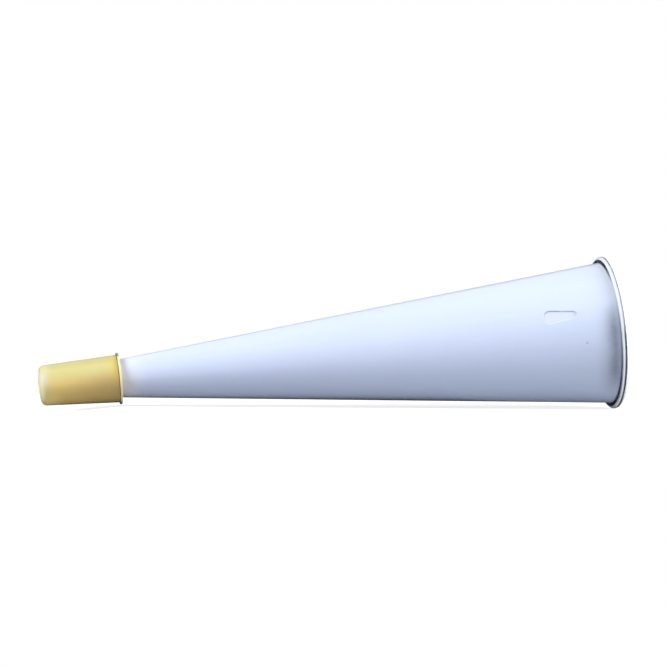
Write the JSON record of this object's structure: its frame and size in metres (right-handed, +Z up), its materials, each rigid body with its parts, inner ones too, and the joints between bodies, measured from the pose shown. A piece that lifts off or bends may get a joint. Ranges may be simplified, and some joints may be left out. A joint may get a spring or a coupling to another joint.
{
  "type": "mouth-blown fog horn",
  "caption": "Mouth-blown marine fog horn: a straight plastic cone with a curled bell rim, a push-on mouthpiece with a pull flange, and a beating brass reed inside.",
  "frame": {"origin": "middle of the footprint of the horn as it lies on its side, on the surface that it rests on", "axes": "+X from the mouthpiece to the bell along the surface, +Y across, +Z up; the horn's own axis rises 5.73 degrees towards +X"},
  "size_m": [0.344, 0.0904, 0.0902],
  "materials": {
    "white_plastic": "glossy moulded, cool white",
    "yellow_plastic": "glossy moulded, pale yellow",
    "reed_plastic": "satin moulded, black",
    "reed_brass": "rolled sheet, brushed",
    "screw_steel": "turned, bright"
  },
  "bodies": {
    "horn": {"horn_cone": "white_plastic", "reed_block": "reed_plastic", "reed_clamp": "reed_brass", "clamp_screws": "screw_steel"},
    "mouthpiece": {"mouthpiece": "yellow_plastic"},
    "reed": {"reed_tongue": "reed_brass"}
  },
  "joints": [
    {"name": "mouthpiece_pull", "type": "slide", "parent": "horn", "child": "mouthpiece", "axis": [-0.995, 0, -0.0998], "range_m": [0, 0.045]},
    {"name": "reed_flex", "type": "hinge", "parent": "horn", "child": "reed", "pos_m": [-0.14728, 0, 0.01466], "axis": [0, 1, 0], "range_deg": [-1.6, 1.2], "stiffness_Nm_per_rad": 0.36}
  ]
}
